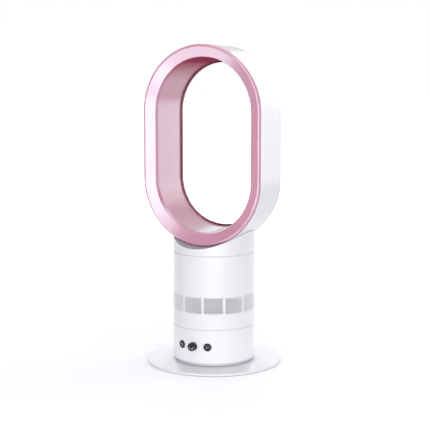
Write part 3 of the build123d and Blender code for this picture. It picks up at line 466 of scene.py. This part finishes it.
# ------------------------------------------------------------- controls behind the wall
# Switches, a potentiometer and three small boards stand on a moulded bracket behind the
# controls, and the power board hangs below the deck with its few large components.
part_black = finish("part_black", linear(34, 34, 37), drift=0.12, rough=0.46, depth=0.00003)
board_green = finish("board_green", linear(38, 92, 62), drift=0.22, rough=0.34, grain=2600.0, cloud=420.0,
                     depth=0.00003)
can_metal = metal("can_metal", linear(150, 152, 158), rough=0.34, lay=500.0)
fin_metal = metal("fin_metal", linear(206, 208, 212), rough=0.22, lay=1400.0)
dress(part_black, "power_plunger", "swing_plunger", "button_switches", "capacitor")
dress(board_green, "control_boards", "power_board")
dress(can_metal, "potentiometer", "transformer", "swing_motor", "blower_motor")
dress(fin_metal, "knob_shaft", "heat_sink")

# --------------------------------------------------------------------- main body shell
# The tall middle shell carries the ring of twelve windows. Narrow bars stand between
# them, and the blower hangs on a ledge inside.
dress(shell_white, "main_housing")

# -------------------------------------------------------------------------- air grille
# Twelve thin curved panels, one behind each window, pierced with fine round holes. Rows
# of 14 and 15 holes take turns, so that each hole stands over the gap between two.
panel_play = 0.0001                  # round each panel in its window
window_low, window_high = 0.1013, 0.1331
grille_low, grille_high = window_low + panel_play, window_high - panel_play
grille_radius = 0.07595
grille_depth = 0.00115
panel_count = 12
panel_turn = math.radians(-1.25)     # of the whole ring about the body
bar_width = 0.0032
hole_pitch, hole_radius = 0.00242, 0.00096
hole_rows, holes_in_row = 14, 14
cell_points = 12                     # round each hole, anticlockwise from its right
left_points, right_points = [7, 6, 5], [11, 0, 1]    # of a cell, from its foot up
floor_points, roof_points = [7, 8, 9, 10], [5, 4, 3, 2]
panel_sides = ((0.0, False), (grille_depth, True))   # depth, and whether it is the back


def between(first, second):
    """Four-sided faces between two runs of as many points."""
    return np.stack([first[..., :-1, :], second[..., :-1, :], second[..., 1:, :], first[..., 1:, :]], -2)


def at_depth(faces, depth, turned):
    """Flat faces put at one depth of the panel, turned round where they face the other way."""
    faces = np.concatenate([faces, np.full(faces.shape[:-1] + (1,), depth)], -1).reshape(-1, 4, 3)
    return faces[:, ::-1] if turned else faces


def through(first, second):
    """Faces through the panel's thickness, from each first point to its second."""
    faces = np.stack([first, second, second, first], -2)
    depths = np.array([[0.0], [0.0], [grille_depth], [grille_depth]])
    return np.concatenate([faces, np.broadcast_to(depths, faces.shape[:-1] + (1,))], -1).reshape(-1, 4, 3)


def opposite(run, axis, place):
    """The points on a straight edge of the panel that lie opposite a run of points."""
    edge = run.copy()
    edge[:, axis] = place
    return edge


def side_run(ends):
    """Points up one side of the holes' cells: three of each row's last cell and, between
    two rows, the middle of the slanted side of the wider one."""
    run = [ends[0]]
    for below, above in zip(ends, ends[1:]):
        run += [(below[2:] + above[:1]) / 2, above]
    return np.concatenate(run)


def pierced_panel():
    """One panel laid flat, as four-sided faces of (along, height, depth) points. Round each
    hole lies a six-sided cell with a point at every corner and in the middle of every
    side. Faces join the twelve points to the hole's rim in front and behind, and the rim
    is walled. Further faces fill the panel from the outer cells to its straight edges."""
    half = math.pi * grille_radius / panel_count - bar_width / 2 - panel_play
    row_step = hole_pitch * math.sqrt(3) / 2
    middle = (grille_low + grille_high) / 2
    turn = np.radians(np.arange(cell_points) * 30.0)
    tip = hole_pitch / math.sqrt(3)
    corner = np.where(np.arange(cell_points) % 2 == 1, tip, hole_pitch / 2)
    cell = np.stack([corner * np.cos(turn), corner * np.sin(turn)], -1)
    cell[3::6] = [[0, tip], [0, -tip]]
    rim = hole_radius * np.stack([np.cos(turn), np.sin(turn)], -1)
    counts = [holes_in_row + row % 2 for row in range(hole_rows)]
    levels = [middle + (row - (hole_rows - 1) / 2) * row_step for row in range(hole_rows)]
    centres = np.array([((k - (count - 1) / 2) * hole_pitch, level)
                        for count, level in zip(counts, levels) for k in range(count)])
    closed = np.arange(cell_points + 1) % cell_points
    rims = centres[:, None] + rim[closed]
    cells = centres[:, None] + cell[closed]
    faces = [at_depth(between(rims, cells), depth, back) for depth, back in panel_sides]
    faces.append(through(rims[:, :-1], rims[:, 1:]))

    rows = np.split(cells, np.cumsum(counts)[:-1])
    left = side_run([row[0][left_points] for row in rows])
    right = side_run([row[-1][right_points] for row in rows])
    floor = np.concatenate([rows[0][:, floor_points].reshape(-1, 2), rows[0][-1][right_points[:1]]])
    roof = np.concatenate([rows[-1][:, roof_points].reshape(-1, 2), rows[-1][-1][right_points[2:]]])
    left_edge, right_edge = opposite(left, 0, -half), opposite(right, 0, half)
    floor_edge, roof_edge = opposite(floor, 1, grille_low), opposite(roof, 1, grille_high)
    for depth, back in panel_sides:
        faces += [at_depth(between(left, left_edge), depth, not back),
                  at_depth(between(right, right_edge), depth, back),
                  at_depth(between(floor, floor_edge), depth, back),
                  at_depth(between(roof, roof_edge), depth, not back)]
        for end, side, level, turned in ((left[0], -half, grille_low, False),
                                         (right[0], half, grille_low, True),
                                         (left[-1], -half, grille_high, True),
                                         (right[-1], half, grille_high, False)):
            square = np.array([[end, [side, end[1]], [side, level], [end[0], level]]])
            faces.append(at_depth(square, depth, turned == back))
    border = np.concatenate([[[-half, grille_low]], floor_edge, [[half, grille_low]], right_edge,
                             [[half, grille_high]], roof_edge[::-1], [[-half, grille_high]],
                             left_edge[::-1], [[-half, grille_low]]])
    faces.append(through(border[1:], border[:-1]))
    return np.concatenate(faces)


panel = pierced_panel()
panel_angles = 2 * math.pi * np.arange(panel_count) / panel_count + panel_turn
angle = panel[None, ..., 0] / grille_radius + panel_angles[:, None, None]
reach = grille_radius - panel[None, ..., 2]
height = panel[None, ..., 1] + 0 * angle
pierced = np.stack([reach * np.sin(angle), -reach * np.cos(angle), height], -1).reshape(-1, 3)
unique, where = np.unique(np.round(pierced, 7), axis=0, return_inverse=True)
grille = new_piece("pierced_grille", unique, where.reshape(-1, 4), shell_white)
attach(grille, "head")
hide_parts("intake_grille")

# -------------------------------------------------------------------------------- blower
# A black glass-filled nylon impeller on a steel shaft. A nut holds it, and it runs in a
# pale funnel below the motor's bucket.
impeller_black = finish("impeller_black", linear(40, 41, 45), drift=0.10, rough=0.40, depth=0.00004)
dress(impeller_black, "impeller")

# ------------------------------------------------------------------ collar, neck, gasket
# The collar ends in a saddle in which the loop lies on a thin foam gasket. Its grey is partly the foam's own
# tone and partly painted shade, standing in for the loop's shadow on the ledge in front of it. The neck duct
# and the screws pass through both.
gasket_grey = finish("gasket_grey", linear(166, 167, 170), drift=0.04, rough=0.85, grain=1500.0, depth=0.0001)
dress(shell_white, "collar", "neck_duct")
dress(gasket_grey, "saddle_gasket")

# ------------------------------------------------------------------------- loop's shell
# The loop's outside is one white moulding: a slightly tapered wall, a rounded rear corner
# and a flat rear wall. The top lamp and the right strip are kept off it, or it clips.
dress(shell_white, "loop_shell")
link_light("flagged_from_top", [top_lamp, right_strip], [nodes["loop_shell"]], left_out=True)

# ------------------------------------------------------------------------- loop's front
# The pink moulding snaps into the shell. It has a rounded outer lip, a front band that
# slopes inwards, a narrow bevel and the long inner wall that guides the air.
pink_coat, pink_specular = 0.9, 0.5
front_pink = finish("front_pink", linear(194, 134, 157), drift=0.012, rough=0.30, rough_drift=0.03,
                    grain=1100.0, depth=0.000006, IOR=1.60, Coat_Roughness=0.18)
# Bounds and colours of a painted shade on the roof of the inner wall and of a painted highlight along the
# wall's rear edge.
wall_start, wall_full = -0.0434, -0.0424     # behind the bevel, where the inner wall begins
shaded_roof_start, shaded_roof_full = 0.512, 0.556         # up the loop's upper arc
rear_highlight_start, rear_highlight_full = 0.0330, 0.0336       # at the inner wall's rear edge
roof_painted_shade = (0.76, 0.32, 0.42, 1.0)
rear_painted_highlight = linear(246, 226, 238)
tree = front_pink.node_tree
deep_in, up_high = along(tree, "Y"), along(tree, "Z")
# Painted shade makes the roof of the inner wall a deeper dark red and takes its gloss away, and a painted
# highlight makes a pale line along the wall's rear edge.
roof_painted_shade_mask = worked_out(tree, "MULTIPLY", stretched(tree, deep_in, wall_start, wall_full),
                       stretched(tree, up_high, shaded_roof_start, shaded_roof_full))
recoloured(front_pink, roof_painted_shade_mask, roof_painted_shade, "MULTIPLY")
recoloured(front_pink, stretched(tree, deep_in, rear_highlight_start, rear_highlight_full), rear_painted_highlight)
for socket, full in (("Specular IOR Level", pink_specular), ("Coat Weight", pink_coat)):
    tree.links.new(stretched(tree, roof_painted_shade_mask, 0.0, 1.0, full, 0.0, "LINEAR"),
                   tree.nodes["Principled BSDF"].inputs[socket])
dress(front_pink, "loop_front")
# The rim lamps are kept off the moulding, the disc and the sheet, and the front lamp off
# the moulding. Cards that it alone mirrors give the sheen on its band and its bevel, and
# three lamps of its own give its colour. The last of those shows in no gloss.
loop_front = nodes["loop_front"]
link_light("flagged_from_rims", rim_lamps, [loop_front, nodes["base_plate"], table], left_out=True)
link_light("flagged_from_front", [front_lamp], [loop_front], left_out=True)
lilac, rose = (0.66, 0.98, 1.0), (1.0, 0.6, 0.75)
cards = [soft_lamp(*card, tint=lilac)
         for card in (("floor_card", -54, 0.72, 0.02, 60.0, (1.2, 0.8), 4.0),
                      ("far_floor_card", -15, 1.30, 0.02, 60.0, (0.8, 1.2), 5.0),
                      ("side_card", -22, 1.30, 0.80, 0.35, (0.7, 1.4), 5.5),
                      ("bevel_card", 86, 1.60, 0.30, 0.30, (0.6, 0.9), 3.0),
                      ("high_card", 108, 1.10, 1.60, 0.30, (0.7, 0.7), 4.0),
                      ("band_card", -8, 2.40, 0.25, 0.30, (1.5, 2.2), 3.2),
                      ("wall_card", 112, 1.60, 0.30, 0.30, (0.9, 0.9), 1.3),
                      ("low_card", 180, 3.00, 1.10, 0.30, (2.0, 0.9), 0.8))]
for card in cards:
    card.visible_diffuse = False
side_lamp = soft_lamp("side_lamp", -60, 1.50, 0.30, 0.30, (0.6, 1.5), 1.0)
nose_lamp = soft_lamp("nose_lamp", -112, 1.60, 0.30, 0.30, (1.6, 1.0), 0.8, rose)
wide_lamp = soft_lamp("wide_lamp", 0, 2.60, 0.30, 0.30, (2.2, 0.8), 8.0)
wide_lamp.visible_glossy = False
link_light("mirrored_by_front", cards + [side_lamp, nose_lamp, wide_lamp], [loop_front])

# --------------------------------------------------------------------- slot and its lip
# Behind the inner wall a thin moulded ring forms the air slot. Its dark red is painted shade: the slot's pink
# in deep shadow.
# Small feet of the same plastic hold the slot open.
slot_red = finish("slot_red", linear(122, 24, 50), drift=0.02, rough=0.5, depth=0.00001)
dress(slot_red, "slot_lip", "slot_spacers")
